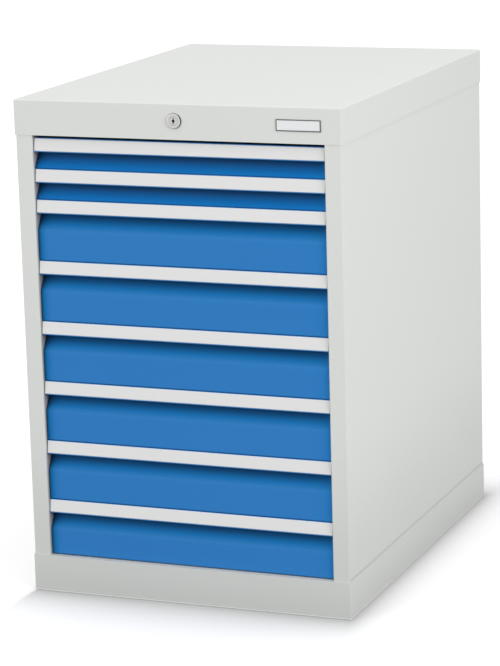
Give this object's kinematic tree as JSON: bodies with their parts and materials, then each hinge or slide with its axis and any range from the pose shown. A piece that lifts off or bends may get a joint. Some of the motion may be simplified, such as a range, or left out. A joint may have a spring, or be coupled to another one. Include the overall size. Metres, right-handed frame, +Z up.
{
  "type": "drawer cabinet",
  "caption": "Free-standing sheet-steel drawer cabinet with full-extension drawers, full-width grip strips, a lock in the top rail that holds every drawer, and a closed plinth.",
  "frame": {"origin": "middle of the base, on the floor", "axes": "+Z up, the drawer fronts face -Y, +X to the right seen from the front"},
  "size_m": [0.555, 0.739, 0.819],
  "materials": {
    "carcass_grey": "fine smooth powder coat, light grey",
    "front_blue": "fine smooth powder coat, blue",
    "box_grey": "powder coat, light grey",
    "grip_aluminium": "satin anodised",
    "zinc_steel": "bright zinc plated",
    "lock_chrome": "satin nickel plated",
    "black_plastic": "moulded",
    "plate_frame": "bare plate with a raised rim"
  },
  "bodies": {
    "cabinet": {"top_cover": "carcass_grey", "left_side_panel": "carcass_grey", "right_side_panel": "carcass_grey", "back_panel": "carcass_grey", "plinth": "carcass_grey", "floor_panel": "carcass_grey", "front_crossbar": "carcass_grey", "rear_crossbar": "carcass_grey", "runner_posts": "zinc_steel", "cabinet_rails": "zinc_steel", "rail_screws": "zinc_steel", "back_panel_screws": "zinc_steel", "lock_housing": "lock_chrome", "lock_nut": "lock_chrome", "rod_bush": "black_plastic", "lock_bar_guides": "black_plastic", "name_plate": "plate_frame"},
    "lock_cylinder": {"lock_plug": "lock_chrome", "lock_rod": "zinc_steel"},
    "locking_bar": {"lock_bar": "zinc_steel"},
    "drawer_1": {"drawer_1_box": "box_grey", "drawer_1_front": "front_blue", "drawer_1_handle": "grip_aluminium", "drawer_1_rails": "zinc_steel"},
    "drawer_1_runners": {"drawer_1_mid_rails": "zinc_steel"},
    "drawer_2": {"drawer_2_box": "box_grey", "drawer_2_front": "front_blue", "drawer_2_handle": "grip_aluminium", "drawer_2_rails": "zinc_steel"},
    "drawer_2_runners": {"drawer_2_mid_rails": "zinc_steel"},
    "drawer_3": {"drawer_3_box": "box_grey", "drawer_3_front": "front_blue", "drawer_3_handle": "grip_aluminium", "drawer_3_rails": "zinc_steel"},
    "drawer_3_runners": {"drawer_3_mid_rails": "zinc_steel"},
    "drawer_4": {"drawer_4_box": "box_grey", "drawer_4_front": "front_blue", "drawer_4_handle": "grip_aluminium", "drawer_4_rails": "zinc_steel"},
    "drawer_4_runners": {"drawer_4_mid_rails": "zinc_steel"},
    "drawer_5": {"drawer_5_box": "box_grey", "drawer_5_front": "front_blue", "drawer_5_handle": "grip_aluminium", "drawer_5_rails": "zinc_steel"},
    "drawer_5_runners": {"drawer_5_mid_rails": "zinc_steel"},
    "drawer_6": {"drawer_6_box": "box_grey", "drawer_6_front": "front_blue", "drawer_6_handle": "grip_aluminium", "drawer_6_rails": "zinc_steel"},
    "drawer_6_runners": {"drawer_6_mid_rails": "zinc_steel"},
    "drawer_7": {"drawer_7_box": "box_grey", "drawer_7_front": "front_blue", "drawer_7_handle": "grip_aluminium", "drawer_7_rails": "zinc_steel"},
    "drawer_7_runners": {"drawer_7_mid_rails": "zinc_steel"},
    "drawer_8": {"drawer_8_box": "box_grey", "drawer_8_front": "front_blue", "drawer_8_handle": "grip_aluminium", "drawer_8_rails": "zinc_steel"},
    "drawer_8_runners": {"drawer_8_mid_rails": "zinc_steel"}
  },
  "joints": [
    {"name": "drawer_1_slide", "type": "slide", "parent": "cabinet", "child": "drawer_1", "axis": [0, -1, 0], "range_m": [0, 0.6]},
    {"name": "drawer_1_mid_slide", "type": "slide", "parent": "cabinet", "child": "drawer_1_runners", "axis": [0, -1, 0], "range_m": [0, 0.3]},
    {"name": "drawer_2_slide", "type": "slide", "parent": "cabinet", "child": "drawer_2", "axis": [0, -1, 0], "range_m": [0, 0.6]},
    {"name": "drawer_2_mid_slide", "type": "slide", "parent": "cabinet", "child": "drawer_2_runners", "axis": [0, -1, 0], "range_m": [0, 0.3]},
    {"name": "drawer_3_slide", "type": "slide", "parent": "cabinet", "child": "drawer_3", "axis": [0, -1, 0], "range_m": [0, 0.6]},
    {"name": "drawer_3_mid_slide", "type": "slide", "parent": "cabinet", "child": "drawer_3_runners", "axis": [0, -1, 0], "range_m": [0, 0.3]},
    {"name": "drawer_4_slide", "type": "slide", "parent": "cabinet", "child": "drawer_4", "axis": [0, -1, 0], "range_m": [0, 0.6]},
    {"name": "drawer_4_mid_slide", "type": "slide", "parent": "cabinet", "child": "drawer_4_runners", "axis": [0, -1, 0], "range_m": [0, 0.3]},
    {"name": "drawer_5_slide", "type": "slide", "parent": "cabinet", "child": "drawer_5", "axis": [0, -1, 0], "range_m": [0, 0.6]},
    {"name": "drawer_5_mid_slide", "type": "slide", "parent": "cabinet", "child": "drawer_5_runners", "axis": [0, -1, 0], "range_m": [0, 0.3]},
    {"name": "drawer_6_slide", "type": "slide", "parent": "cabinet", "child": "drawer_6", "axis": [0, -1, 0], "range_m": [0, 0.6]},
    {"name": "drawer_6_mid_slide", "type": "slide", "parent": "cabinet", "child": "drawer_6_runners", "axis": [0, -1, 0], "range_m": [0, 0.3]},
    {"name": "drawer_7_slide", "type": "slide", "parent": "cabinet", "child": "drawer_7", "axis": [0, -1, 0], "range_m": [0, 0.6]},
    {"name": "drawer_7_mid_slide", "type": "slide", "parent": "cabinet", "child": "drawer_7_runners", "axis": [0, -1, 0], "range_m": [0, 0.3]},
    {"name": "drawer_8_slide", "type": "slide", "parent": "cabinet", "child": "drawer_8", "axis": [0, -1, 0], "range_m": [0, 0.6]},
    {"name": "drawer_8_mid_slide", "type": "slide", "parent": "cabinet", "child": "drawer_8_runners", "axis": [0, -1, 0], "range_m": [0, 0.3]},
    {"name": "lock_turn", "type": "hinge", "parent": "cabinet", "child": "lock_cylinder", "pos_m": [0, -0.365, 0.792], "axis": [0, 1, 0], "range_deg": [0, 90]},
    {"name": "lock_bar_lift", "type": "slide", "parent": "cabinet", "child": "locking_bar", "axis": [0, 0, 1], "range_m": [0, 0.00989]}
  ],
  "couplings": [
    {"joint": "drawer_1_mid_slide", "follows": "drawer_1_slide", "ratio": 0.5},
    {"joint": "drawer_2_mid_slide", "follows": "drawer_2_slide", "ratio": 0.5},
    {"joint": "drawer_3_mid_slide", "follows": "drawer_3_slide", "ratio": 0.5},
    {"joint": "drawer_4_mid_slide", "follows": "drawer_4_slide", "ratio": 0.5},
    {"joint": "drawer_5_mid_slide", "follows": "drawer_5_slide", "ratio": 0.5},
    {"joint": "drawer_6_mid_slide", "follows": "drawer_6_slide", "ratio": 0.5},
    {"joint": "drawer_7_mid_slide", "follows": "drawer_7_slide", "ratio": 0.5},
    {"joint": "drawer_8_mid_slide", "follows": "drawer_8_slide", "ratio": 0.5},
    {"joint": "lock_turn", "follows": "lock_bar_lift", "rad_per_m": 158.67}
  ]
}
